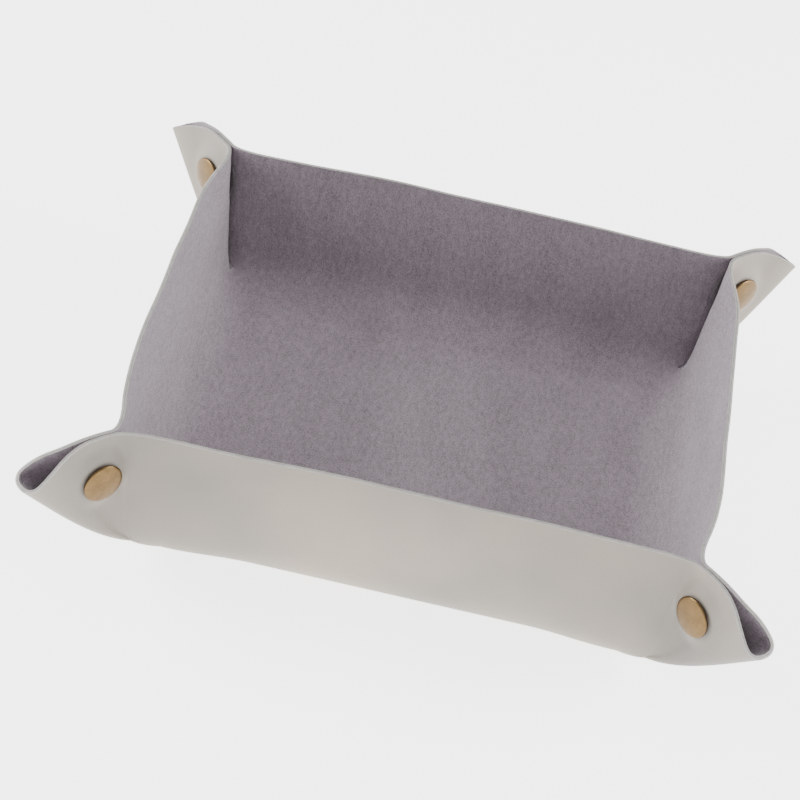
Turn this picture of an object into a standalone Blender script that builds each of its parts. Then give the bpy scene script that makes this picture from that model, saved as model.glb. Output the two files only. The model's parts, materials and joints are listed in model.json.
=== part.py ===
"""A folding dice tray: one leather sheet with a suede lining, folded up and held by a press snap at each corner.

The sheet is drawn flat, panel by panel, and each panel hangs from an empty on its fold, which turns it
from the flat sheet into the folded tray. X is the long way, Y the short way, Z up; metres.
"""

import math

import bmesh
import bpy
import numpy as np
from mathutils import Matrix, Vector

MM = 0.001

# The sheet
HALF_LENGTH = 127 * MM
HALF_WIDTH = 122 * MM
WALL_HEIGHT = 48 * MM  # from the fold to the rim, along the wall
CORNER_RADIUS = 34 * MM
LEATHER = 1.0 * MM
LINING = 0.7 * MM
BOND = 0.1 * MM  # the glue line between the two layers
THICKNESS = LEATHER + BOND + LINING

# The folds
LONG_WALL_ANGLE = math.radians(83)  # the front and back walls, from flat
SHORT_WALL_ANGLE = math.radians(78)  # the left and right walls, from flat
CREASE_SLOPE = math.radians(43.5)  # the outer crease of a pinched corner, above the horizontal
EAR_START = math.radians(5)  # the ear begins this far outside the end of its wall
CREASE_WEDGE = math.radians(5.5)  # what the open pivot along the crease leaves free
BOW_FROM_CORNER = 42 * MM  # the rim turns in towards the snap from here on
FOLD_GAP = 0.15 * MM
CREASE_GAP = 1.2 * MM
BOW_GAP = 2.0 * MM
CORNER_GAP = 4.0 * MM

# The snaps
SNAP_FROM_OWN_EDGE = 15 * MM
SNAP_FROM_CORNER_EDGE = 35.5 * MM
HALF_SNAP_GAP = 1.8 * MM  # from either lining to the middle of a closed snap
SNAP_GAP = 0.3 * MM
CAP_RADIUS = 6.25 * MM
CAP_HEIGHT = 1.4 * MM
CAP_EDGE = 0.9 * MM
POST_RADIUS = 1.5 * MM
HOLE_RADIUS = 1.9 * MM
SOCKET_RADIUS = 4.8 * MM
SOCKET_TOP = 2.1 * MM
SOCKET_FLOOR = 0.7 * MM
SOCKET_MOUTH = 2.6 * MM
SOCKET_GROOVE = 3.5 * MM
GROOVE_LOW = 1.1 * MM
GROOVE_HIGH = 1.8 * MM
SPRING_RADIUS = 2.95 * MM
SPRING_WIRE = 0.25 * MM
SPRING_OPENING = math.radians(35)
STUD_FLANGE = 4.4 * MM
STUD_FLANGE_TOP = 0.8 * MM
STUD_NECK = 2.0 * MM
STUD_BULB = 2.25 * MM
STUD_TOP = 2.5 * MM
STUD_BORE = 1.55 * MM
BACK_POST_RADIUS = 1.2 * MM
BACK_POST_TOP = 1.7 * MM
TURNED_STEPS = 24

# Where the folds meet
FOLD_X = HALF_LENGTH - WALL_HEIGHT
FOLD_Y = HALF_WIDTH - WALL_HEIGHT
CORNER = np.array([FOLD_X, FOLD_Y, THICKNESS])
UP = np.array([0.0, 0.0, 1.0])
DIAGONAL = np.array([1.0, 1.0, 0.0]) / math.sqrt(2)

LONG_SIDES = {"back": 1, "front": -1}
SHORT_SIDES = {"right": 1, "left": -1}


def clear_scene():
    for obj in list(bpy.data.objects):
        bpy.data.objects.remove(obj)


def new_collection(name):
    collection = bpy.data.collections.new(name)
    bpy.context.scene.collection.children.link(collection)
    return collection


def new_material(name, colour, roughness, metallic=0.0):
    material = bpy.data.materials.new(name)
    material.use_nodes = True
    shader = material.node_tree.nodes["Principled BSDF"]
    shader.inputs["Base Color"].default_value = (*colour, 1)
    shader.inputs["Roughness"].default_value = roughness
    shader.inputs["Metallic"].default_value = metallic
    material.diffuse_color = (*colour, 1)
    return material


def new_empty(name, matrix, parent=None):
    empty = bpy.data.objects.new(name, None)
    empty.empty_display_size = 0.02
    parts.objects.link(empty)
    if parent:
        empty.parent = parent
        matrix = parent.matrix_world.inverted() @ matrix
    empty.matrix_basis = matrix
    bpy.context.view_layer.update()
    return empty


def new_object(name, mesh, material, parent, place=None):
    obj = bpy.data.objects.new(name, mesh)
    obj.data.materials.append(material)
    parts.objects.link(obj)
    obj.parent = parent
    if place is not None:
        obj.matrix_basis = place
    return obj


def frame_matrix(rotation, origin):
    matrix = Matrix([list(row) for row in rotation]).to_4x4()
    matrix.translation = Vector(origin)
    return matrix


def mirrored(vector, sides):
    return np.array(vector) * np.array([sides[0], sides[1], 1.0])


def mirrored_rotation(rotation, sides):
    flip = np.diag([sides[0], sides[1], 1.0])
    return flip @ rotation @ flip


def turn_about_x(angle):
    c, s = math.cos(angle), math.sin(angle)
    return np.array([[1, 0, 0], [0, c, -s], [0, s, c]])


def turn_about_y(angle):
    c, s = math.cos(angle), math.sin(angle)
    return np.array([[c, 0, s], [0, 1, 0], [-s, 0, c]])


def wall_turn(kind):
    """How the back or the right wall is turned up from flat."""
    if kind == "long":
        return turn_about_x(LONG_WALL_ANGLE)
    return turn_about_y(-SHORT_WALL_ANGLE)


def ear_turn(kind):
    """How an ear at the back right corner is turned from flat: it stands upright along the diagonal."""
    inward = np.array([-1.0, 1.0, 0.0]) / math.sqrt(2)
    if kind == "short":
        inward = -inward
    crease = DIAGONAL * math.cos(CREASE_SLOPE) + UP * math.sin(CREASE_SLOPE)
    rising = -DIAGONAL * math.sin(CREASE_SLOPE) + UP * math.cos(CREASE_SLOPE)
    facing = -inward
    flat = np.stack([DIAGONAL, inward, UP], axis=1)
    folded = np.stack([crease, rising, facing], axis=1)
    return folded @ flat.T


def ear_corner(kind):
    """Where the sheet's inner corner lies on a folded ear: off the diagonal by half the closed snap's gap."""
    facing = ear_turn(kind) @ UP
    return CORNER - HALF_SNAP_GAP * facing


def ear_pivot(kind):
    """A point on the axis about which an ear turns on its wall, from folded to flat."""
    wall = wall_turn(kind)
    turn = wall @ ear_turn(kind).T
    skew = np.array([turn[2, 1] - turn[1, 2], turn[0, 2] - turn[2, 0], turn[1, 0] - turn[0, 1]])
    axis = skew / np.linalg.norm(skew)
    shift = CORNER - turn @ ear_corner(kind)
    shift = shift - axis * (axis @ (CORNER - ear_corner(kind)))
    pivot = np.linalg.lstsq(np.eye(3) - turn, shift, rcond=None)[0]
    return pivot + axis * (axis @ (CORNER - pivot))


def swapped(points, kind):
    """Flat points drawn for a long wall's ear, in the order and place of a short wall's."""
    if kind == "long":
        return points
    return [(y, x) for x, y in reversed(points)]


def outline_mesh(name, faces, height):
    """An open surface at a height below the lining, its faces pointing to the lining side."""
    build = bmesh.new()
    made = {}
    for face in faces:
        corners = []
        for point in face:
            point = tuple(point) if len(point) == 3 else (*point, height)
            key = tuple(round(value, 7) for value in point)
            if key not in made:
                made[key] = build.verts.new(point)
            corners.append(made[key])
        build.faces.new(corners)
    for face in build.faces:
        face.normal_update()
        if face.normal.z < 0:
            face.normal_flip()
    mesh = bpy.data.meshes.new(name)
    build.to_mesh(mesh)
    build.free()
    return mesh


def add_layers(panel, faces, parent, place=None):
    """The leather and the lining of one panel, thickened to either side of the glue line."""
    layers = {"leather": (leather, LEATHER, -1), "lining": (suede, LINING, 1)}
    made = []
    for layer, (material, thickness, side) in layers.items():
        name = f"{panel}_{layer}"
        mesh = outline_mesh(name, faces, BOND / 2 + LEATHER - THICKNESS)
        obj = new_object(name, mesh, material, parent, place)
        shell = obj.modifiers.new("thickness", "SOLIDIFY")
        shell.thickness = thickness
        shell.offset = side * (1 + BOND / thickness)
        shell.use_even_offset = True
        made.append(obj)
    return made


def add_base(parent):
    x, y, cut = FOLD_X - FOLD_GAP, FOLD_Y - FOLD_GAP, CORNER_GAP
    quarter = [(x, y - cut), (x - cut, y)]
    outline = []
    for sides in ((1, 1), (-1, 1), (-1, -1), (1, -1)):
        points = [(px * sides[0], py * sides[1]) for px, py in quarter]
        outline += points if sides[0] * sides[1] > 0 else points[::-1]
    place = Matrix.Translation((0, 0, THICKNESS))
    return add_layers("base", [outline], parent, place)


def wall_faces(kind):
    """A wall in its fold's frame: a flat middle, and an end on each side that turns in to the snap."""
    along = FOLD_X if kind == "long" else FOLD_Y
    level = BOND / 2 + LEATHER - THICKNESS
    foot = along - CORNER_GAP
    bow = along - BOW_FROM_CORNER
    reach = np.array([math.sin(EAR_START), math.cos(EAR_START)]) * WALL_HEIGHT
    top = reach if kind == "long" else reach[::-1]
    top = ear_corner(kind) + ear_turn(kind) @ np.array([top[0], top[1], level])
    hinge = np.array([0, FOLD_Y, THICKNESS]) if kind == "long" else np.array([FOLD_X, 0, THICKNESS])
    top = wall_turn(kind).T @ (top - hinge)
    if kind == "short":
        top = top[[1, 0, 2]]
    rim = np.array([bow, WALL_HEIGHT, level])
    top = top + (rim - top) / np.linalg.norm(rim - top) * BOW_GAP
    middle = [(-foot, FOLD_GAP), (foot, FOLD_GAP), (bow, WALL_HEIGHT), (-bow, WALL_HEIGHT)]
    end = [(foot, FOLD_GAP, level), tuple(top), tuple(rim)]
    faces = [[(x, y, level) for x, y in middle], end, [(-x, y, z) for x, y, z in reversed(end)]]
    if kind == "short":
        faces = [[(y, x, z) for x, y, z in face] for face in faces]
    return faces


def ear_outline(kind):
    """An ear from the end of its wall to the diagonal crease, about the sheet's inner corner."""
    centre = WALL_HEIGHT - CORNER_RADIUS
    tip = math.radians(45) + CREASE_WEDGE / 2
    top = (WALL_HEIGHT * math.tan(EAR_START) + CREASE_GAP / 2, WALL_HEIGHT)
    points = [top]
    steps = 7
    for step in range(steps):
        angle = math.radians(90) + (tip - math.radians(90)) * step / (steps - 1)
        x, y = centre + CORNER_RADIUS * math.cos(angle), centre + CORNER_RADIUS * math.sin(angle)
        if x > top[0] + CREASE_GAP:
            points.append((x, y))
    wedge = math.radians(45) + CREASE_WEDGE
    start = CORNER_GAP
    points.append((start * math.cos(wedge), start * math.sin(wedge)))
    points.append((start * math.sin(EAR_START) + CREASE_GAP / 2, start))
    return swapped(points, kind)


def snap_place(kind):
    point = [(WALL_HEIGHT - SNAP_FROM_CORNER_EDGE, WALL_HEIGHT - SNAP_FROM_OWN_EDGE)]
    return swapped(point, kind)[0]


def punch_hole(objects, place, parent):
    """The hole for the snap's post, through both layers of an ear."""
    build = bmesh.new()
    bmesh.ops.create_cone(build, cap_ends=True, segments=TURNED_STEPS, radius1=HOLE_RADIUS,
                          radius2=HOLE_RADIUS, depth=4 * THICKNESS)
    mesh = bpy.data.meshes.new(f"{objects[0].name}_punch")
    build.to_mesh(mesh)
    build.free()
    punch = bpy.data.objects.new(mesh.name, mesh)
    punch.hide_render = True
    punch.display_type = "WIRE"
    cutters.objects.link(punch)
    punch.parent = parent
    punch.matrix_basis = place
    for obj in objects:
        cut = obj.modifiers.new("post hole", "BOOLEAN")
        cut.object = punch
        cut.operation = "DIFFERENCE"
        cut.solver = "EXACT"


def turned_mesh(name, profile):
    """A mesh of a profile's edge, to be turned by a Screw modifier."""
    mesh = bpy.data.meshes.new(name)
    edges = [(i, i + 1) for i in range(len(profile) - 1)]
    if profile[0][0] > 0:
        edges.append((len(profile) - 1, 0))
    mesh.from_pydata([(radius, 0, height) for radius, height in profile], edges, [])
    return mesh


def add_turned(name, profile, material, parent, place):
    obj = new_object(name, turned_mesh(name, profile), material, parent, place)
    screw = obj.modifiers.new("turn", "SCREW")
    screw.steps = TURNED_STEPS
    screw.render_steps = TURNED_STEPS
    screw.use_merge_vertices = True
    screw.merge_threshold = 0.00001
    screw.use_smooth_shade = True
    return obj


def cap_profile(post_radius, post_top):
    """A domed disc with a rolled edge and its post, on the leather's side. It runs down its outer side."""
    under = -THICKNESS - SNAP_GAP
    edge = under - CAP_EDGE
    dome = [(CAP_RADIUS * share, under - CAP_HEIGHT + (CAP_HEIGHT - CAP_EDGE) * share**2 * 0.8)
            for share in (0.9, 0.6, 0.3, 0)]
    rim = [(CAP_RADIUS * 0.97, under), (CAP_RADIUS, under - CAP_EDGE * 0.3),
           (CAP_RADIUS, under - CAP_EDGE * 0.7), (CAP_RADIUS * 0.97, edge)]
    return [(0, post_top), (post_radius, post_top), (post_radius, under), *rim, *dome]


def socket_profile():
    hole = POST_RADIUS + SNAP_GAP
    outer = SOCKET_RADIUS
    return [
        (hole, SOCKET_FLOOR), (hole, SNAP_GAP), (outer * 0.94, SNAP_GAP), (outer, SNAP_GAP * 2),
        (outer, SOCKET_TOP - SNAP_GAP), (outer * 0.92, SOCKET_TOP), (SOCKET_MOUTH, SOCKET_TOP),
        (SOCKET_MOUTH, GROOVE_HIGH), (SOCKET_GROOVE, GROOVE_HIGH), (SOCKET_GROOVE, GROOVE_LOW),
        (SOCKET_MOUTH, GROOVE_LOW), (SOCKET_MOUTH, SOCKET_FLOOR),
    ][::-1]


def stud_profile():
    """The stud with its flange on the lining; its bore takes the back cap's post."""
    bore_top = STUD_TOP - 0.5 * MM
    return [
        (0, STUD_TOP), (STUD_BULB * 0.7, STUD_TOP - 0.05 * MM), (STUD_BULB, STUD_TOP - 0.4 * MM),
        (STUD_BULB, STUD_TOP - 0.7 * MM), (STUD_NECK, STUD_TOP - 1.0 * MM), (STUD_NECK, STUD_FLANGE_TOP),
        (STUD_FLANGE * 0.95, STUD_FLANGE_TOP), (STUD_FLANGE, STUD_FLANGE_TOP - 0.15 * MM),
        (STUD_FLANGE, SNAP_GAP), (STUD_BORE, SNAP_GAP), (STUD_BORE, bore_top), (0, bore_top),
    ]


def add_spring(name, material, parent, place):
    """The split wire ring that grips the stud, in the socket's groove."""
    curve = bpy.data.curves.new(name, "CURVE")
    curve.dimensions = "3D"
    curve.bevel_depth = SPRING_WIRE
    curve.bevel_resolution = 1
    curve.use_fill_caps = True
    spline = curve.splines.new("POLY")
    count = 22
    spline.points.add(count - 1)
    height = (GROOVE_LOW + GROOVE_HIGH) / 2
    for index, point in enumerate(spline.points):
        angle = SPRING_OPENING / 2 + (2 * math.pi - SPRING_OPENING) * index / (count - 1)
        point.co = (SPRING_RADIUS * math.cos(angle), SPRING_RADIUS * math.sin(angle), height, 1)
    return new_object(name, curve, material, parent, place)


def add_wall(name, kind, sides, base):
    """One wall on its fold."""
    hinge = (0, FOLD_Y, THICKNESS) if kind == "long" else (FOLD_X, 0, THICKNESS)
    matrix = frame_matrix(mirrored_rotation(wall_turn(kind), sides), mirrored(hinge, sides))
    fold = new_empty(f"{name}_fold", matrix, base)
    faces = [[mirrored(point, sides) for point in face] for face in wall_faces(kind)]
    add_layers(name, faces, fold)
    return fold


def add_ear(name, kind, sides, wall):
    """One ear on its wall, with the snap's post hole. Returns its empty and the snap's place on it."""
    turn = mirrored_rotation(ear_turn(kind), sides)
    pivot = mirrored(ear_pivot(kind), sides)
    fold = new_empty(f"{name}_fold", frame_matrix(turn, pivot), wall)
    shift = turn.T @ (mirrored(ear_corner(kind), sides) - pivot)
    outline = [mirrored((x, y, 0), sides)[:2] for x, y in ear_outline(kind)]
    layers = add_layers(name, [outline], fold, Matrix.Translation(shift))
    x, y = snap_place(kind)
    place = Matrix.Translation(Vector(shift) + Vector((x * sides[0], y * sides[1], 0)))
    punch_hole(layers, place, fold)
    return fold, place


def add_snap(corner, long_ear, short_ear):
    """The cap and socket on the long wall's ear, the back cap and stud on the short wall's."""
    fold, place = long_ear
    add_turned(f"{corner}_snap_cap", cap_profile(POST_RADIUS, SOCKET_FLOOR), brass, fold, place)
    add_turned(f"{corner}_snap_socket", socket_profile(), brass, fold, place)
    add_spring(f"{corner}_snap_spring", steel, fold, place)
    fold, place = short_ear
    add_turned(f"{corner}_snap_back_cap", cap_profile(BACK_POST_RADIUS, BACK_POST_TOP), brass, fold, place)
    add_turned(f"{corner}_snap_stud", stud_profile(), brass, fold, place)


def build():
    base = new_empty("tray", Matrix.Identity(4))
    add_base(base)
    walls = {}
    for side, sign in LONG_SIDES.items():
        walls[side] = add_wall(f"{side}_wall", "long", (1, sign), base)
    for side, sign in SHORT_SIDES.items():
        walls[side] = add_wall(f"{side}_wall", "short", (sign, 1), base)
    for long_side, y in LONG_SIDES.items():
        for short_side, x in SHORT_SIDES.items():
            long_ear = add_ear(f"{long_side}_wall_{short_side}_ear", "long", (x, y), walls[long_side])
            short_ear = add_ear(f"{short_side}_wall_{long_side}_ear", "short", (x, y), walls[short_side])
            add_snap(f"{long_side}_{short_side}", long_ear, short_ear)


clear_scene()
parts = new_collection("folding_dice_tray")
cutters = new_collection("cutters")
leather = new_material("grey_leather", (0.47, 0.45, 0.42), 0.45)
suede = new_material("mauve_suede", (0.27, 0.24, 0.27), 0.95)
brass = new_material("antique_brass", (0.42, 0.30, 0.18), 0.38, 1.0)
steel = new_material("spring_steel", (0.55, 0.55, 0.55), 0.3, 1.0)
build()
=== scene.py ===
"""The looks of the folding dice tray: one soft two-layer sheet, folded up and pinched at its four corners.

The sheet's surface is worked out in one piece: a rounded fold along each wall's foot, a turn into each ear
and a loop at each ear's crease. It is then divided at the joints; the floor's pieces and the loops follow
their bodies.
X is the long way, Y the short way, -Y the front, Z up; metres.
"""

import json
import math

import bmesh
import bpy
import numpy as np
from mathutils import Matrix, Vector


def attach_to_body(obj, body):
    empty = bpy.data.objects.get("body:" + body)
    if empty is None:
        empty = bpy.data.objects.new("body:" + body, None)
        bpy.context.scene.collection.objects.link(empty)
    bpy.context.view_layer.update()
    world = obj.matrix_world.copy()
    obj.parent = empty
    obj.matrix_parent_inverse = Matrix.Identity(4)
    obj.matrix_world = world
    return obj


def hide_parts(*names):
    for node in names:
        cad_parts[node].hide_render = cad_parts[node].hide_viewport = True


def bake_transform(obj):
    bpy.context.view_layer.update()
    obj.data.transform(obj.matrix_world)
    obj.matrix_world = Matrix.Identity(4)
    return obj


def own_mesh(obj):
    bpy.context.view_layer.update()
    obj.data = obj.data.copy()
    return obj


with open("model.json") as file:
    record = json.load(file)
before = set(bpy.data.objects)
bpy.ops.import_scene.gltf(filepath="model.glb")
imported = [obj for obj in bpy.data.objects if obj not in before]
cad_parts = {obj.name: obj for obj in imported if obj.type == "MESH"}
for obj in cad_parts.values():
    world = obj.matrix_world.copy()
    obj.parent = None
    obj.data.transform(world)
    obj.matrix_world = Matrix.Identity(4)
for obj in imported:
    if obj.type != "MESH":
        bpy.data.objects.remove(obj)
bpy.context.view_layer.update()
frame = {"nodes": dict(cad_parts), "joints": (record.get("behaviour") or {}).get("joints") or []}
joints = {joint["name"]: joint for joint in frame["joints"]}

MM = 0.001

# The sheet, with the folds where the frame has them
FOLD_X = joints["right_wall_fold"]["pos_m"][0]
FOLD_Y = joints["back_wall_fold"]["pos_m"][1]
LEATHER = 0.76 * MM
LINING = 0.52 * MM
BOND = 0.78 * MM  # how high the bond between the two layers lies on the floor
BOND_HALF_GAP = 0.01 * MM
WALL_LENGTH = 48 * MM
RIM_BULGE = 0.14 * MM  # how far the cut edge is rounded outward

# The walls
LONG_LEAN, LONG_RISE = 4.4 * MM, 49.5 * MM  # how far out of the fold the rim's middle is, and how high
SHORT_LEAN, SHORT_RISE = 9.4 * MM, 47.6 * MM
BOW_START = 46 * MM  # the rim is straight up to this far from the corner
BOW_BEND = 20 * MM  # it turns in to the ear from here on
BOW_SHARE = 0.05  # and has come this share of the way by then
FOLD_ROUND = 15.5 * MM  # the bend's tangent length in the middle of a wall
FOLD_SHARP = 9 * MM  # the same at the corners
FOLD_TAPER = 38 * MM  # the bend tightens over this much of the wall
RIPPLE_OUT, RIPPLE_UP = 0.22 * MM, 0.16 * MM

# The ears: s is outward along the diagonal from the floor's corner, d is off the diagonal plane
PINCH = (5.2 * MM, 48.2 * MM)  # s and height of the rim where its two sides meet
PINCH_FLAT = 3.8 * MM  # where that point is on the flat sheet, beyond the floor's corner
EAR_GAP = 0.66 * MM  # half the distance between an ear's two leaves
CORNER_SOFT = 14 * MM  # the height over which each of the floor's corners is rounded off
CORNER_INWARD, CORNER_UPWARD = 0.45, 0.89  # the way in which it is pushed
NORMALS_REACH = 20 * MM  # the folds' shading runs together this far round such a corner
NORMALS_ROUNDS = 14
FRONT_LOOP = 3.2 * MM  # how far the turned-over crease bulges off the diagonal
BACK_LOOP = 2.6 * MM
SNAP_OFFSET = 2.75 * MM  # what a closed snap takes up, from the diagonal to the middle of a leaf
SNAP_FLAT = 5.6 * MM  # the snap holds the leaf flat out to here
SNAP_FADE = 11.5 * MM

# The snaps' caps
CAP_RADIUS = 6.25 * MM
CAP_STEPS = 96

# How far to either side of a fold the columns lie closer, and the floor's corner squares reach
FOLD_BLEND = 16 * MM

# Where the sheet is divided, in columns along a wall's half and rows up it
SEAM_COLUMNS = 6  # the wall gives way to the ear's piece this far before the corner
LOOP_COLUMN = 26  # the leaf gives way to the loop this far beyond the corner
BEND_ROWS = 11  # the wall's piece reaches this far up beyond its bend
TONGUE_DEPTH = 0.08 * MM  # a tongue lies this far inside the faces of the wall's piece

LONG_SIDES = {"back": 1, "front": -1}
SHORT_SIDES = {"right": 1, "left": -1}
ROOT2 = math.sqrt(2)

# What a cut's flat size is at least, and how much of that its outline fills at least
SMALLEST_SIDE = 10 * MM
SMALLEST_FILL = 0.301

# Materials, in linear colour
LEATHER_COLOUR = (0.242, 0.218, 0.190)
COOL_LEATHER_COLOUR = (0.214, 0.200, 0.178)
# Lighter, warmer end of the slow change of tone: partly the leather's own tone, partly painted highlight
WARM_TONE_AND_HIGHLIGHT_COLOUR = (0.344, 0.288, 0.226)
PAINTED_SHADE_FROM, PAINTED_SHADE_TO = 92, 124  # mm from the sheet's middle: painted shade, the colour darkens towards the corners
PAINTED_CORNER_SHADE = 0.66
SUEDE_COLOUR = (0.208, 0.177, 0.199)
EDGE_COLOUR = (0.47, 0.45, 0.425)
BRASS_COLOUR = (0.128, 0.080, 0.034)
PATINA_COLOUR = (0.10, 0.068, 0.045)

# The view
CAMERA_AZIMUTH, CAMERA_ELEVATION, CAMERA_ROLL = 1.92, 37.04, 11.56
CAMERA_DISTANCE = 0.8333
CAMERA_ASIDE = (-6.8 * MM, 19.0 * MM)
CAMERA_LENS = 118.3

# The studio
PAPER_GLOW = 3.0
SKY = 0.62
LIGHTS = {  # place, size, power
    "overhead": ((-0.1, 0.1, 1.1), 1.0, 2.2),
    "left": ((-1.0, 0.0, 0.38), 0.6, 21.0),
    "right": ((1.0, 0.05, 0.38), 0.6, 19.0),
    "front": ((-0.05, -0.9, 0.85), 0.5, 2.5),
}


# ---------------------------------------------------------------- materials


class Nodes:
    """A material's node tree, built a node at a time."""

    def __init__(self, name):
        self.material = bpy.data.materials.new(name)
        self.material.use_nodes = True
        self.tree = self.material.node_tree
        self.shader = self.tree.nodes["Principled BSDF"]

    def add(self, kind, **inputs):
        """A new node, with a value or another node's output for each named input."""
        node = self.tree.nodes.new(kind)
        for name, value in inputs.items():
            self.feed(node, name.replace("_", " "), value)
        return node

    def feed(self, node, name, value):
        socket = node.inputs[name]
        if isinstance(value, bpy.types.NodeSocket):
            self.tree.links.new(value, socket)
        else:
            socket.default_value = value

    def sheet_place(self, scale=(1000, 1000, 1000), turn=0.0):
        """The place on the flat sheet, in millimetres over the given stretch."""
        place = self.add("ShaderNodeTexCoord").outputs["UV"]
        return self.add("ShaderNodeMapping", Vector=place, Rotation=(0, 0, turn), Scale=scale).outputs[0]

    def object_place(self):
        """The place on the object itself, in millimetres."""
        place = self.add("ShaderNodeTexCoord").outputs["Object"]
        return self.add("ShaderNodeMapping", Vector=place, Scale=(1000, 1000, 1000)).outputs[0]

    def distance(self, place):
        """How far a place is from the origin."""
        node = self.add("ShaderNodeVectorMath", Vector=place)
        node.operation = "LENGTH"
        return node.outputs["Value"]

    def noise(self, place, scale, detail=3.0, roughness=0.5):
        return self.add("ShaderNodeTexNoise", Vector=place, Scale=scale, Detail=detail,
                        Roughness=roughness).outputs["Fac"]

    def spread(self, value, low, high, to_low=0.0, to_high=1.0):
        """The value stretched from one range to another, held at its ends."""
        node = self.add("ShaderNodeMapRange", Value=value)
        for name, limit in (("From Min", low), ("From Max", high), ("To Min", to_low), ("To Max", to_high)):
            node.inputs[name].default_value = limit
        return node.outputs[0]

    def mix(self, factor, first, second):
        node = self.add("ShaderNodeMix")
        node.data_type = "RGBA"
        self.feed(node, "Factor", factor)
        for index, colour in ((6, first), (7, second)):
            if isinstance(colour, bpy.types.NodeSocket):
                self.tree.links.new(colour, node.inputs[index])
            else:
                node.inputs[index].default_value = (*colour, 1)
        return node.outputs[2]

    def sum(self, *weighted):
        """The sum of values, each with its weight."""
        total = None
        for value, weight in weighted:
            node = self.add("ShaderNodeMath")
            node.operation = "MULTIPLY_ADD"
            self.tree.links.new(value, node.inputs[0])
            node.inputs[1].default_value = weight
            if total is None:
                node.inputs[2].default_value = 0
            else:
                self.tree.links.new(total, node.inputs[2])
            total = node.outputs[0]
        return total

    def bump(self, height, distance, strength=1.0):
        node = self.add("ShaderNodeBump", Height=height, Distance=distance, Strength=strength)
        self.feed(self.shader, "Normal", node.outputs[0])


def shade(colour, share):
    return tuple(min(1.0, value * share) for value in colour)


def leather_material():
    """Smooth, matt leather: fine pebbled grain, faint creasing, a slow change of tone partly painting a
    highlight, painted shade at the corners.
    """
    made = Nodes("pale_grey_leather")
    place = made.sheet_place()
    # Partly painted highlight: the slow change of tone puts a lighter, warmer patch where the front wall
    # catches light
    tone_and_painted_highlight = made.spread(made.noise(place, 0.013, 3.0), 0.36, 0.62)
    grain = made.add("ShaderNodeTexVoronoi", Vector=place, Scale=1.15, Randomness=1.0).outputs["Distance"]
    pores = made.noise(place, 2.6, 4.0, 0.6)
    creasing = made.noise(made.sheet_place((420, 1100, 1000), 0.5), 0.32, 6.0, 0.62)
    # Painted shade: the colour darkens from the sheet's middle out to the corners and ears
    painted_corner_shade_mask = made.spread(made.distance(place), PAINTED_SHADE_FROM, PAINTED_SHADE_TO)
    cool = made.mix(painted_corner_shade_mask, COOL_LEATHER_COLOUR, shade(COOL_LEATHER_COLOUR, PAINTED_CORNER_SHADE))
    warm = made.mix(painted_corner_shade_mask, WARM_TONE_AND_HIGHLIGHT_COLOUR, shade(WARM_TONE_AND_HIGHLIGHT_COLOUR, PAINTED_CORNER_SHADE))
    tone = made.mix(tone_and_painted_highlight, warm, cool)
    pored = made.spread(pores, 0.38, 0.72, 0.0, 0.45)
    made.feed(made.shader, "Base Color", made.mix(pored, tone, shade(LEATHER_COLOUR, 0.86)))
    made.feed(made.shader, "Roughness", made.spread(pores, 0.3, 0.7, 0.46, 0.60))
    made.shader.inputs["Specular IOR Level"].default_value = 0.42
    made.bump(made.sum((grain, 0.5), (pores, 0.35), (creasing, 0.9)), 0.10 * MM, 0.8)
    return made.material


def suede_material():
    """A short brushed nap: streaks and blotches where it lies different ways, and a pale sheen at a slant."""
    made = Nodes("mauve_grey_suede")
    brushed = made.sheet_place((1000, 430, 1000), 0.35)
    place = made.sheet_place()
    blotch = made.noise(brushed, 0.075, 5.0, 0.58)
    streak = made.noise(made.sheet_place((1000, 420, 1000), 0.35), 0.7, 4.0, 0.62)
    fibre = made.noise(made.sheet_place((1000, 620, 1000), 0.2), 2.2, 4.0, 0.72)
    nap = made.sum((blotch, 0.13), (streak, 0.27), (fibre, 0.60))
    lie = made.spread(nap, 0.38, 0.62)
    made.feed(made.shader, "Base Color", made.mix(lie, shade(SUEDE_COLOUR, 0.66), shade(SUEDE_COLOUR, 1.46)))
    made.shader.inputs["Roughness"].default_value = 0.95
    made.shader.inputs["Specular IOR Level"].default_value = 0.12
    made.feed(made.shader, "Sheen Weight", made.spread(nap, 0.38, 0.62, 0.35, 1.0))
    made.shader.inputs["Sheen Roughness"].default_value = 0.42
    made.shader.inputs["Sheen Tint"].default_value = (0.93, 0.89, 0.92, 1)
    tufts = made.noise(place, 3.2, 5.0, 0.7)
    made.bump(made.sum((tufts, 0.6), (fibre, 0.5), (streak, 0.5)), 0.22 * MM, 0.75)
    return made.material


def edge_material(name, colour, darker):
    """The raw cut edge: matted fibres, paler than the faces."""
    made = Nodes(name)
    place = made.object_place()
    fibre = made.noise(place, 4.0, 5.0, 0.72)
    patch = made.noise(place, 0.35, 3.0)
    matted = made.spread(made.sum((fibre, 0.7), (patch, 0.3)), 0.38, 0.64)
    made.feed(made.shader, "Base Color", made.mix(matted, shade(colour, darker), colour))
    made.shader.inputs["Roughness"].default_value = 0.92
    made.shader.inputs["Specular IOR Level"].default_value = 0.15
    made.bump(fibre, 0.16 * MM, 0.9)
    return made.material


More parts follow.
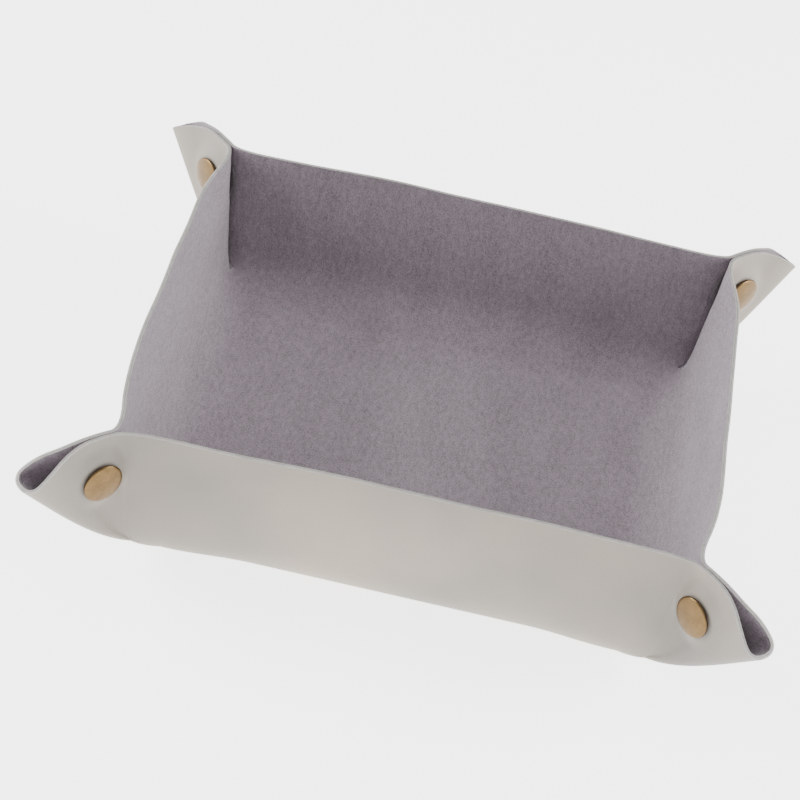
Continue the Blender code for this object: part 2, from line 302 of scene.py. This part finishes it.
def brass_material():
    """Antique brass: rubbed bright where hands reach it, dark under the edge, with hairline scratches."""
    made = Nodes("antique_brass")
    place = made.object_place()
    recess = made.add("ShaderNodeAttribute")
    recess.attribute_name = "recess"
    cloud = made.noise(place, 0.42, 5.0, 0.62)
    speck = made.noise(place, 3.5, 3.0, 0.6)
    stroked = made.add("ShaderNodeMapping", Vector=place, Scale=(0.25, 4.0, 0.6), Rotation=(0.3, 0.2, 0.9))
    scratch = made.noise(stroked.outputs[0], 1.6, 3.0, 0.7)
    worn = made.spread(made.sum((cloud, 0.75), (speck, 0.25)), 0.36, 0.66)
    metal = made.mix(worn, shade(BRASS_COLOUR, 0.72), shade(BRASS_COLOUR, 1.08))
    dark = made.spread(made.sum((recess.outputs["Fac"], 1.0), (speck, 0.3)), 0.12, 1.05)
    made.feed(made.shader, "Base Color", made.mix(dark, metal, PATINA_COLOUR))
    made.shader.inputs["Metallic"].default_value = 1.0
    rough = made.sum((worn, -0.10), (scratch, 0.12), (recess.outputs["Fac"], 0.2))
    made.feed(made.shader, "Roughness", made.spread(rough, -0.1, 0.4, 0.24, 0.5))
    made.bump(made.sum((scratch, 0.6), (speck, 0.4)), 0.03 * MM, 0.6)
    return made.material


def steel_material():
    made = Nodes("spring_steel")
    drawn = made.noise(made.object_place(), 1.8, 4.0)
    made.feed(made.shader, "Base Color", made.mix(drawn, (0.38, 0.38, 0.39), (0.62, 0.62, 0.62)))
    made.feed(made.shader, "Roughness", made.spread(drawn, 0.3, 0.7, 0.24, 0.4))
    made.shader.inputs["Metallic"].default_value = 1.0
    return made.material


# ---------------------------------------------------------------- the sheet's shape


def smoothstep(value):
    value = np.clip(value, 0, 1)
    return value * value * (3 - 2 * value)


def rounded(controls, rounds=5):
    """A line with its corners cut again and again, which is a smooth curve near its controls."""
    line = np.array(controls, float)
    for _ in range(rounds):
        first = line[:-1] * 0.75 + line[1:] * 0.25
        second = line[:-1] * 0.25 + line[1:] * 0.75
        inner = np.stack([first, second], axis=1).reshape(-1, line.shape[1])
        line = np.concatenate([line[:1], inner, line[-1:]])
    return line


def in_ear(along, out, s, d, z):
    """A point given along the diagonal and off it, for the wall that lies on the +d side."""
    return (along + (s - d) / ROOT2, out + (s + d) / ROOT2, z)


def rim_controls(along, out, lean, rise, loop):
    """Pairs of a rim point and its foot on the fold, with their places on the flat sheet, middle to tip."""
    s0, z0 = PINCH
    gap = EAR_GAP
    pinch_out = (s0 + gap) / ROOT2
    flat_rim = out + WALL_LENGTH
    ear = [  # s, d, z of the rim; s, d of the foot; how far the flat rim point is beyond the floor's corner
        (s0, gap, z0, 0.0, gap, PINCH_FLAT, 48.0 * MM),
        (s0 + 8.0 * MM, gap, z0 + 0.5 * MM, 0.0, gap, 12.0 * MM, 48.0 * MM),
        (s0 + 14.3 * MM, gap * 1.2, z0 + 0.1 * MM, 0.0, gap, 18.0 * MM, 47.6 * MM),
        (s0 + 19.8 * MM, loop * 0.55, z0 - 1.8 * MM, 0.0, gap, 25.0 * MM, 46.0 * MM),
        (s0 + 25.2 * MM, loop * 1.2, z0 - 4.3 * MM, 0.2 * gap, gap, 31.5 * MM, 43.5 * MM),
        (s0 + 30.2 * MM, loop * 1.5, z0 - 7.8 * MM, 0.8 * gap, gap, 36.0 * MM, 40.8 * MM),
        (s0 + 32.0 * MM, loop * 1.1, z0 - 9.1 * MM, gap, 0.7 * gap, 37.6 * MM, 39.5 * MM),
        (s0 + 32.6 * MM, loop * 0.5, z0 - 9.6 * MM, gap, 0.3 * gap, 38.3 * MM, 38.9 * MM),
        (s0 + 32.6 * MM, 0.0, z0 - 9.7 * MM, gap, 0.0, 38.6 * MM, 38.6 * MM),
    ]
    bend = lean - BOW_SHARE * (lean - pinch_out)
    controls = [
        (0, out + lean, rise, 0, out, 0, flat_rim),
        (along - BOW_START, out + lean, rise, along - BOW_START, out, along - BOW_START, flat_rim),
        (along - BOW_BEND, out + bend, (rise + z0) / 2, along - BOW_BEND, out,
         along - BOW_BEND + 1.2 * MM, flat_rim),
    ]
    for s, d, z, foot_s, foot_d, flat_x, flat_y in ear:
        top = in_ear(along, out, s, d, z)
        foot = in_ear(along, out, foot_s, foot_d, 0)
        controls.append((*top, foot[0], foot[1], along + flat_x, out + flat_y))
    return controls


def resampled(line, at, stops):
    """The line's values at the stops, given where each of its points is."""
    return np.stack([np.interp(stops, at, values) for values in line.T], axis=1)


class Quarter:
    """Half a wall, from its middle to the tip of the ear at its end, as columns from the floor to the rim.

    It is worked out as a long wall's half at the back right, and swapped and mirrored at the end.
    """

    CLOSE_COLUMNS, FAR_COLUMNS, EAR_COLUMNS = 12, 44, 56
    LOW_STRAIGHT, ARC, WALL_ROWS = 3, 8, 34

    def __init__(self, kind, sides, loop):
        self.kind, self.sides = kind, sides
        along, out = (FOLD_X, FOLD_Y) if kind == "long" else (FOLD_Y, FOLD_X)
        lean, rise = (LONG_LEAN, LONG_RISE) if kind == "long" else (SHORT_LEAN, SHORT_RISE)
        self.along, self.out = along, out
        self.set_columns(rounded(rim_controls(along, out, lean, rise, loop)))
        self.build()

    def set_columns(self, line):
        """Columns at set distances from the corner, then along the ear by the rim's length."""
        pinch = int(np.argmin(np.abs(line[:, 5] - (self.along + PINCH_FLAT))))
        wall, ear = line[: pinch + 1], line[pinch:]
        corner = self.along - EAR_GAP / ROOT2
        close = np.linspace(0, FOLD_BLEND - EAR_GAP / ROOT2, self.CLOSE_COLUMNS)
        far = np.linspace(close[-1], corner, self.FAR_COLUMNS)[1:]
        feet = (corner - np.concatenate([close, far]))[::-1]
        numbers = np.arange(len(wall))
        rising = np.maximum.accumulate(wall[:, 3]) + numbers * 1e-9
        wall_columns = resampled(wall, numbers, np.interp(feet, rising, numbers))
        wall_columns[:, 3] = feet
        wall_columns[-1] = ear[0]
        wall_columns[-1, 3:5] = corner, self.out + EAR_GAP / ROOT2
        run = np.concatenate([[0], np.cumsum(np.linalg.norm(np.diff(ear[:, :3], axis=0), axis=1))])
        ear_columns = resampled(ear, run, np.linspace(0, run[-1], self.EAR_COLUMNS)[1:])
        self.columns = np.concatenate([wall_columns, ear_columns])
        self.first_ear = len(feet) - 1

    def floor_edge(self):
        """Where each column begins on the floor: beside the fold, and along the diagonal in the ear."""
        along = self.columns[:, 3]
        inset = np.clip(self.along - along, 0, FOLD_BLEND)
        floor = np.column_stack([along, self.out - inset, np.full(len(along), BOND)])
        steps = np.arange(len(along) - self.first_ear) / (len(along) - 1 - self.first_ear)
        reach = -EAR_GAP + 2 * EAR_GAP * steps
        floor[self.first_ear :, 0] = self.along + reach / ROOT2
        floor[self.first_ear :, 1] = self.out + reach / ROOT2
        return floor

    def build(self):
        """The points from the floor, round the bend and up to the rim, and their places on the flat sheet."""
        top, flat_fold, flat_top = self.columns[:, :3], self.columns[:, 3:5], self.columns[:, 5:7]
        fold = np.column_stack([flat_fold, np.full(len(top), BOND)])
        floor = self.floor_edge()
        flat_floor = floor[:, :2]
        low = np.linalg.norm(fold - floor, axis=1)
        high = np.linalg.norm(top - fold, axis=1)
        from_corner = self.along - self.columns[:, 3]
        bend = FOLD_SHARP + (FOLD_ROUND - FOLD_SHARP) * smoothstep(from_corner / FOLD_TAPER)
        bend = np.minimum(bend, 0.98 * low)
        low_or_tiny = np.maximum(low, 1e-9)
        before = fold + (floor - fold) * (bend / low_or_tiny)[:, None]
        after = fold + (top - fold) * (bend / high)[:, None]
        rows, flats = [], []

        def arc(q):
            return (1 - q) ** 2 * before + 2 * q * (1 - q) * fold + q**2 * after

        def add_low_row(points, from_fold):
            rows.append(points)
            flats.append(flat_fold + (flat_floor - flat_fold) * (from_fold / low_or_tiny)[:, None])

        def add_high_row(points, from_fold):
            rows.append(points)
            flats.append(flat_fold + (flat_top - flat_fold) * (from_fold / high)[:, None])

        for i in range(self.LOW_STRAIGHT):
            add_low_row(floor + (before - floor) * (i / self.LOW_STRAIGHT),
                        low - (low - bend) * i / self.LOW_STRAIGHT)
        for i in range(self.ARC):
            add_low_row(arc(0.5 * i / self.ARC), bend * (1 - i / self.ARC))
        self.low_rows = len(rows)
        for i in range(self.ARC):
            add_high_row(arc(0.5 + 0.5 * i / self.ARC), bend * i / self.ARC)
        for i in range(self.WALL_ROWS + 1):
            add_high_row(after + (top - after) * (i / self.WALL_ROWS),
                         bend + (high - bend) * i / self.WALL_ROWS)
        self.points = np.stack(rows, axis=1)
        self.flats = np.stack(flats, axis=1)
        self.press_at_snap()
        self.ripple()
        self.place()

    def press_at_snap(self):
        """The snap holds the leaf flat and off the diagonal, by the depth of its two halves."""
        x, y, z = (self.points[..., i] for i in range(3))
        s = ((x - self.along) + (y - self.out)) / ROOT2
        d = ((y - self.out) - (x - self.along)) / ROOT2
        away = np.hypot(s - SNAP_AT[0], z - SNAP_AT[1])
        held = 1 - smoothstep((away - SNAP_FLAT) / (SNAP_FADE - SNAP_FLAT))
        numbers = np.arange(len(self.columns))[:, None]
        near = smoothstep((numbers - self.first_ear + 8) / 10)
        move = held * near * (SNAP_OFFSET - d)
        self.points[..., 0] -= move / ROOT2
        self.points[..., 1] += move / ROOT2

    def ripple(self):
        """The slow unevenness of hand-folded leather, growing from the floor to the rim."""
        x, y = self.flats[..., 0], self.flats[..., 1]
        up = np.clip((y - self.out) / WALL_LENGTH, 0, 1)
        phase = {"long": 0.4, "short": 1.9}[self.kind] + 1.3 * self.sides[0] + 0.7 * self.sides[1]
        middle = smoothstep(x / (20 * MM)) * smoothstep((self.along + 3 * MM - x) / (25 * MM))
        wave = np.sin(x / (13 * MM) + phase) + 0.6 * np.sin(x / (7.3 * MM) + 2 * phase + y / (30 * MM))
        self.points[..., 1] += RIPPLE_OUT * wave * up * middle
        self.points[..., 2] += RIPPLE_UP * np.sin(x / (17 * MM) + 3 * phase) * up**2 * middle

    def place(self):
        """Swapped for a short wall, and mirrored to its own corner."""
        if self.kind == "short":
            self.points = self.points[..., [1, 0, 2]]
            self.flats = self.flats[..., [1, 0]]
        self.points = self.points * [self.sides[0], self.sides[1], 1]
        self.flats = self.flats * self.sides


class Sheet:
    """The whole sheet as one welded surface, with a piece's name on each face."""

    WELD = 0.004 * MM

    def __init__(self):
        self.index, self.points, self.flats = {}, [], []
        self.faces, self.names = [], []
        self.rim = set()

    def vertex(self, point, flat):
        key = tuple(np.round(np.asarray(point) / self.WELD).astype(int))
        if key not in self.index:
            self.index[key] = len(self.points)
            self.points.append(point)
            self.flats.append(flat)
        return self.index[key]

    def grid(self, points, flats, name, upward):
        """A patch of quads. upward says which way round gives a normal on the lining's side."""
        ids = [[self.vertex(p, f) for p, f in zip(prow, frow)] for prow, frow in zip(points, flats)]
        for a, b in zip(ids, ids[1:]):
            for i in range(len(a) - 1):
                face = [a[i], b[i], b[i + 1], a[i + 1]]
                face = [v for k, v in enumerate(face) if v != face[k - 1]]
                if len(set(face)) >= 3:
                    self.faces.append(face if upward else face[::-1])
                    self.names.append(name)
        return ids

    def blunt_corners(self):
        """Stiff leather takes no sharp point at the floor's corners: it is rounded off, inward and upward."""
        side = np.where(self.points[:, :2] < 0, -1, 1)
        corner = np.column_stack([side * (FOLD_X, FOLD_Y), np.full(len(side), BOND)])
        inward = np.column_stack([-side * CORNER_INWARD / ROOT2, np.full(len(side), CORNER_UPWARD)])
        height = np.clip(((self.points - corner) * inward).sum(axis=1), 0, CORNER_SOFT)
        self.points += inward * ((CORNER_SOFT - height) ** 3 / (3 * CORNER_SOFT**2))[:, None]

    def soften_normals(self):
        """The folds that meet at a floor corner run into each other there."""
        edges = {tuple(sorted(pair)) for face in self.faces for pair in zip(face, face[1:] + face[:1])}
        edges = np.array(sorted(edges))
        corner = np.array([FOLD_X, FOLD_Y, BOND])
        away = np.linalg.norm(np.abs(self.points) - corner, axis=1)
        share = 0.9 * smoothstep(1.5 * (1 - away / NORMALS_REACH))[:, None]
        for _ in range(NORMALS_ROUNDS):
            total = np.zeros_like(self.normals)
            np.add.at(total, edges[:, 0], self.normals[edges[:, 1]])
            np.add.at(total, edges[:, 1], self.normals[edges[:, 0]])
            total /= np.maximum(np.linalg.norm(total, axis=1), 1e-9)[:, None]
            self.normals += share * (total - self.normals)
            self.normals /= np.linalg.norm(self.normals, axis=1)[:, None]

    def set_normals(self):
        """The normal at each point, from the faces round it, leaving out the tongues that lie double."""
        normals = np.zeros_like(self.points)
        for face, name in zip(self.faces, self.names):
            if name.endswith("_tongue"):
                continue
            corner = self.points[face]
            normal = np.cross(corner[1] - corner[0], corner[2] - corner[0])
            if len(face) == 4:
                normal = normal + np.cross(corner[2] - corner[0], corner[3] - corner[0])
            for v in face:
                normals[v] += normal
        self.normals = normals / np.linalg.norm(normals, axis=1)[:, None]

    def set_outward(self):
        """At each point of the rim, the way out of the sheet."""
        inner = {}
        for face in self.faces:
            for v in face:
                if v in self.rim:
                    inner.setdefault(v, []).extend(u for u in face if u not in self.rim)
        self.outward = np.zeros_like(self.points)
        for v, others in inner.items():
            if others:
                away = self.points[v] - self.points[others].mean(axis=0)
                self.outward[v] = away / np.linalg.norm(away)

    def finish(self):
        self.points = np.array(self.points)
        self.flats = np.array(self.flats)
        self.blunt_corners()
        self.set_normals()
        self.soften_normals()
        self.set_outward()


def quarters():
    """Every half wall, by wall and corner."""
    made = {}
    for long_side, y in LONG_SIDES.items():
        loop = BACK_LOOP if long_side == "back" else FRONT_LOOP
        for short_side, x in SHORT_SIDES.items():
            made[long_side, short_side] = Quarter("long", (x, y), loop)
            made[short_side, long_side] = Quarter("short", (x, y), loop)
    return made


def add_cut(sheet, half, name, columns=(0, None), rows=(0, None)):
    """Adds the part of a half wall between two columns and two rows, both taken in."""
    place = tuple(slice(first, None if last is None else last + 1) for first, last in (columns, rows))
    mirrored = half.sides[0] * half.sides[1] < 0
    sheet.grid(half.points[place], half.flats[place], name, (half.kind == "long") != mirrored)


def add_half(sheet, wall, other, half):
    """Half a wall with its ear, divided where the bodies meet.

    The tongue is the corner square of the wall's foot over again, for a piece that stays with the floor.
    """
    end, low = half.first_ear, half.low_rows
    seam, loop = end - SEAM_COLUMNS, end + LOOP_COLUMN
    straight = low + half.ARC + BEND_ROWS
    square = int(np.argmin(np.abs(half.columns[:, 3] - (half.along - FOLD_BLEND))))
    wall_name, ear = f"{wall}_wall", f"{wall}_wall_{other}_ear"
    add_cut(sheet, half, wall_name, (0, end), (0, low))
    add_cut(sheet, half, wall_name, (0, seam), (low, None))
    add_cut(sheet, half, wall_name, (seam, end), (low, straight))
    add_cut(sheet, half, ear, (seam, end), (straight, None))
    add_cut(sheet, half, ear, (end, loop))
    add_cut(sheet, half, f"{ear}_loop", (loop, None))
    add_cut(sheet, half, f"base_{wall}_{other}_tongue", (square, end), (0, low))
    for points, flats in zip(half.points, half.flats):
        sheet.rim.add(sheet.vertex(points[-1], flats[-1]))


def floor_stops(half, axis, fold):
    """The places of a half wall's columns along the floor, short of the corner square, to both sides."""
    stops = half.points[:, 0, axis]
    stops = stops[stops <= fold - FOLD_BLEND + 0.001 * MM]
    return np.concatenate([-stops[::-1], stops[1:]])


def whole_sheet():
    sheet = Sheet()
    halves = quarters()
    for (wall, other), half in halves.items():
        add_half(sheet, wall, other, half)
    xs = floor_stops(halves["back", "right"], 0, FOLD_X)
    ys = floor_stops(halves["right", "back"], 1, FOLD_Y)
    grid = np.stack(np.meshgrid(xs, ys, indexing="ij"), axis=-1)
    points = np.concatenate([grid, np.full((*grid.shape[:2], 1), BOND)], axis=-1)
    sheet.grid(points, grid, "base", True)
    sheet.finish()
    return sheet


# ---------------------------------------------------------------- the sheet's pieces


class Layer:
    """A closed layer between two heights off the bond, over the chosen faces, with a rounded cut rim."""

    FACE, RIM, INNER_CUT = 0, 1, 2  # material slots
    RIM_PROFILE = ((0.85, 0.7), (0.5, 1.0), (0.15, 0.7))  # share of the height, share of the bulge
    SAME_WAY = 0.6  # a side takes the sheet's normals only where they agree with its own this well

    def __init__(self, sheet, chosen, low, high):
        self.sheet, self.low, self.high = sheet, low, high
        used = sorted({v for face in chosen for v in face})
        self.local = {v: i for i, v in enumerate(used)}
        self.count = len(used)
        points, normals, flats = sheet.points[used], sheet.normals[used], sheet.flats[used]
        self.points = [*(points + normals * low), *(points + normals * high)]
        self.normals = [*-normals, *normals]
        self.flats = [*flats, *flats]
        self.faces = [[self.local[v] + self.count for v in face] for face in chosen]
        self.faces += [[self.local[v] for v in face[::-1]] for face in chosen]
        self.slots = [self.FACE] * len(self.faces)
        self.bulges = {}
        self.add_sides(chosen)

    def bulge(self, v):
        """The points down the cut edge at a rim vertex."""
        if v not in self.bulges:
            self.bulges[v] = []
            for share, out in self.RIM_PROFILE:
                height = self.low + (self.high - self.low) * share
                point = self.sheet.points[v] + self.sheet.normals[v] * height
                self.bulges[v].append(len(self.points))
                self.points.append(point + self.sheet.outward[v] * RIM_BULGE * out)
                self.flats.append(self.sheet.flats[v])
                self.normals.append(self.sheet.outward[v])
        return self.bulges[v]

    def add_sides(self, chosen):
        """The sides round the chosen faces: rounded along the rim, and plain where it meets another piece."""
        directed = dict.fromkeys((a, b) for face in chosen for a, b in zip(face, face[1:] + face[:1]))
        rim = self.sheet.rim
        for a, b in directed:
            if (b, a) in directed:
                continue
            left, right = [self.local[a] + self.count], [self.local[b] + self.count]
            slot = self.INNER_CUT
            if a in rim and b in rim:
                left += self.bulge(a)
                right += self.bulge(b)
                slot = self.RIM
            left.append(self.local[a])
            right.append(self.local[b])
            for k in range(len(left) - 1):
                self.faces.append([left[k], left[k + 1], right[k + 1], right[k]])
                self.slots.append(slot)

    def corner_normals(self, mesh, corners):
        """The normal at each corner of a face: the sheet's, or the face's own on a side that turns away."""
        normals = np.array(self.normals)[corners]
        for face, slot in zip(mesh.polygons, self.slots):
            if slot == self.FACE:
                continue
            own = np.array(face.normal)
            for k in face.loop_indices:
                if np.dot(normals[k], own) <= self.SAME_WAY:
                    normals[k] = own
        return normals

    def mesh(self, name, materials):
        mesh = bpy.data.meshes.new(name)
        mesh.from_pydata([tuple(p) for p in self.points], [], self.faces)
        for material in materials:
            mesh.materials.append(material)
        mesh.polygons.foreach_set("material_index", self.slots)
        mesh.polygons.foreach_set("use_smooth", [True] * len(self.faces))
        corners = np.empty(len(mesh.loops), int)
        mesh.loops.foreach_get("vertex_index", corners)
        uv = mesh.uv_layers.new(name="sheet")
        uv.data.foreach_set("uv", np.array(self.flats)[corners].ravel())
        mesh.normals_split_custom_set([tuple(n) for n in self.corner_normals(mesh, corners)])
        mesh.validate()
        return mesh


def flat_measure(sheet, chosen):
    """A cut's flat size, along the sheet or its diagonal, whichever is the closer fit, and its area."""
    area = 0.0
    for face in chosen:
        x, y = sheet.flats[face].T
        area += abs(np.dot(x, np.roll(y, -1)) - np.dot(y, np.roll(x, -1))) / 2
    flats = sheet.flats[sorted({v for face in chosen for v in face})]
    fits = []
    for angle in (0.0, math.pi / 4, -math.pi / 4):
        turned = flats @ np.array([[math.cos(angle), -math.sin(angle)], [math.sin(angle), math.cos(angle)]])
        fits.append(np.ptp(turned, axis=0))
    size = np.maximum(min(fits, key=np.prod), SMALLEST_SIDE)
    area = np.clip(area, SMALLEST_FILL * np.prod(size), np.prod(size))
    return (float(size[0]), float(size[1])), float(area)


def add_piece(name, mesh):
    piece = bpy.data.objects.new(name, mesh)
    bpy.context.scene.collection.objects.link(piece)
    return piece


def attach(piece, panel):
    """The floor's pieces and the loops follow their bodies; the others only have their place baked in."""
    if panel.startswith("base"):
        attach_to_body(piece, "base")
    elif panel.endswith("_loop"):
        body = panel[: -len("_loop")]
        corner = np.array(joints[f"{body}_fold"]["pos_m"])
        x, y = np.sign(corner[0]), np.sign(corner[1])
        wall = body.split("_")[0]
        across = np.array([-x, y, 0]) if wall in LONG_SIDES else np.array([x, -y, 0])
        across = across / ROOT2
        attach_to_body(piece, body)
        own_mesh(piece)
    elif panel.endswith("_ear"):
        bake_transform(piece)
    else:
        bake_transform(piece)


def add_sheet():
    sheet = whole_sheet()
    layers = {"leather": (-LEATHER, -BOND_HALF_GAP, (leather, leather_edge, suede)),
              "lining": (BOND_HALF_GAP, LINING, (suede, suede_edge, suede))}
    panels = list(dict.fromkeys(sheet.names))
    chosen = {panel: [] for panel in panels}
    for face, panel in zip(sheet.faces, sheet.names):
        chosen[panel].append(face)
    for panel in panels:
        flat, area = flat_measure(sheet, chosen[panel])
        for layer, (low, high, materials) in layers.items():
            name = f"{panel}_{layer}_sheet"
            if panel.endswith("_tongue"):
                low, high = low + TONGUE_DEPTH, high - TONGUE_DEPTH
            mesh = Layer(sheet, chosen[panel], low, high).mesh(name, materials)
            piece = add_piece(name, mesh)
            attach(piece, panel)
            if not panel.endswith(("_loop", "_tongue")):
                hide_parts(f"{panel}_{layer}")


# ---------------------------------------------------------------- the snaps


def cap_profile():
    """Radius and height of the cap's face, from its underside round the turned-over edge to the middle.

    The third value is how dark the patina is there.
    """
    r = CAP_RADIUS
    edge = [(r * 0.94, 0.02, 1.0), (r * 0.975, 0.08, 0.95), (r * 0.995, 0.22, 0.8), (r, 0.40, 0.6),
            (r * 0.995, 0.55, 0.4), (r * 0.98, 0.68, 0.15), (r * 0.955, 0.78, 0.0)]
    dome = [(r * share, 1.38 - 0.62 * share**2.4, 0.0) for share in np.linspace(0.92, 0.0, 15)]
    return [(radius, height * MM, recess) for radius, height, recess in edge + dome]


def cap_mesh(name):
    profile = cap_profile()
    build = bmesh.new()
    patina = build.verts.layers.float.new("recess")
    rings = []
    for radius, height, recess in profile[:-1]:
        ring = []
        for step in range(CAP_STEPS):
            angle = 2 * math.pi * step / CAP_STEPS
            vertex = build.verts.new((radius * math.cos(angle), radius * math.sin(angle), height))
            vertex[patina] = recess
            ring.append(vertex)
        rings.append(ring)
    middle = build.verts.new((0, 0, profile[-1][1]))
    under = build.verts.new((0, 0, profile[0][1]))
    for low, high in zip(rings, rings[1:]):
        for k in range(CAP_STEPS):
            after = (k + 1) % CAP_STEPS
            build.faces.new([low[k], low[after], high[after], high[k]])
    for k in range(CAP_STEPS):
        after = (k + 1) % CAP_STEPS
        build.faces.new([rings[-1][k], rings[-1][after], middle])
        build.faces.new([rings[0][after], rings[0][k], under])
    mesh = bpy.data.meshes.new(name)
    build.to_mesh(mesh)
    build.free()
    mesh.polygons.foreach_set("use_smooth", [True] * len(mesh.polygons))
    return mesh


def node_points(name):
    vertices = frame["nodes"][name].data.vertices
    points = np.empty(len(vertices) * 3)
    vertices.foreach_get("co", points)
    return points.reshape(-1, 3)


def add_cap(node, body, across):
    """A cap in the place of the frame's own, flush with its outer face."""
    points = node_points(node)
    centre = (points.min(axis=0) + points.max(axis=0)) / 2
    outer = (points @ across).max()
    face = centre + across * (outer - centre @ across)
    origin = face - across * cap_profile()[-1][1]
    piece = bpy.data.objects.new(f"{node}_dome", cap_mesh(node))
    piece.data.materials.append(brass)
    bpy.context.scene.collection.objects.link(piece)
    turn = Vector(across).to_track_quat("Z", "Y").to_matrix().to_4x4()
    piece.matrix_world = Matrix.Translation(Vector(origin)) @ turn
    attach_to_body(piece, body)
    return piece


def add_snaps():
    for long_side, y in LONG_SIDES.items():
        for short_side, x in SHORT_SIDES.items():
            corner = f"{long_side}_{short_side}_snap"
            across = np.array([-x, y, 0]) / ROOT2
            cap = add_cap(f"{corner}_cap", f"{long_side}_wall_{short_side}_ear", across)
            back = add_cap(f"{corner}_back_cap", f"{short_side}_wall_{long_side}_ear", -across)
            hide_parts(f"{corner}_cap")
            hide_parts(f"{corner}_back_cap")
            for part in ("socket", "stud", "spring"):
                for slot in frame["nodes"][f"{corner}_{part}"].material_slots:
                    slot.material = steel if part == "spring" else brass


def snap_centre():
    """The back right snap's place in its ear: along the diagonal from the floor's corner, and its height."""
    points = node_points("back_right_snap_cap")
    centre = (points.min(axis=0) + points.max(axis=0)) / 2
    return ((centre[0] - FOLD_X) + (centre[1] - FOLD_Y)) / ROOT2, centre[2]


# ---------------------------------------------------------------- the studio


def add_studio():
    floor = bpy.data.objects.new("studio_floor", bpy.data.meshes.new("studio_floor"))
    build = bmesh.new()
    bmesh.ops.create_grid(build, x_segments=1, y_segments=1, size=6)
    build.to_mesh(floor.data)
    build.free()
    floor.location.z = -0.05 * MM
    bpy.context.scene.collection.objects.link(floor)
    paper = Nodes("white_paper")
    paper.shader.inputs["Base Color"].default_value = (0.93, 0.93, 0.93, 1)
    paper.shader.inputs["Roughness"].default_value = 0.9
    paper.shader.inputs["Emission Color"].default_value = (1, 1, 1, 1)
    paper.shader.inputs["Emission Strength"].default_value = PAPER_GLOW
    floor.data.materials.append(paper.material)
    world = bpy.data.worlds.new("studio")
    world.use_nodes = True
    world.node_tree.nodes["Background"].inputs["Color"].default_value = (1, 1, 1, 1)
    world.node_tree.nodes["Background"].inputs["Strength"].default_value = SKY
    bpy.context.scene.world = world
    for name, (place, size, power) in LIGHTS.items():
        lamp = bpy.data.lights.new(name, "AREA")
        lamp.size = size
        lamp.energy = power
        light = bpy.data.objects.new(name, lamp)
        light.location = place
        light.rotation_euler = (Vector((0, 0, 0.02)) - light.location).to_track_quat("-Z", "Y").to_euler()
        bpy.context.scene.collection.objects.link(light)


def add_camera():
    azimuth, elevation, roll = (math.radians(v) for v in (CAMERA_AZIMUTH, CAMERA_ELEVATION, CAMERA_ROLL))
    back = Vector((math.sin(azimuth) * math.cos(elevation), -math.cos(azimuth) * math.cos(elevation),
                   math.sin(elevation)))
    right = Vector((0, 0, 1)).cross(back).normalized()
    up = back.cross(right)
    right, up = (right * math.cos(roll) + up * math.sin(roll),
                 up * math.cos(roll) - right * math.sin(roll))
    matrix = Matrix((right, up, back)).transposed().to_4x4()
    matrix.translation = back * CAMERA_DISTANCE + right * CAMERA_ASIDE[0] + up * CAMERA_ASIDE[1]
    camera = bpy.data.objects.new("camera", bpy.data.cameras.new("camera"))
    camera.data.sensor_width = 36
    camera.data.lens = CAMERA_LENS
    camera.matrix_world = matrix
    bpy.context.scene.collection.objects.link(camera)
    bpy.context.scene.camera = camera


SNAP_AT = snap_centre()
leather = leather_material()
suede = suede_material()
leather_edge = edge_material("leather_cut_edge", EDGE_COLOUR, 0.72)
suede_edge = edge_material("suede_cut_edge", shade(EDGE_COLOUR, 0.9), 0.62)
brass = brass_material()
steel = steel_material()
add_sheet()
add_snaps()
add_studio()
add_camera()
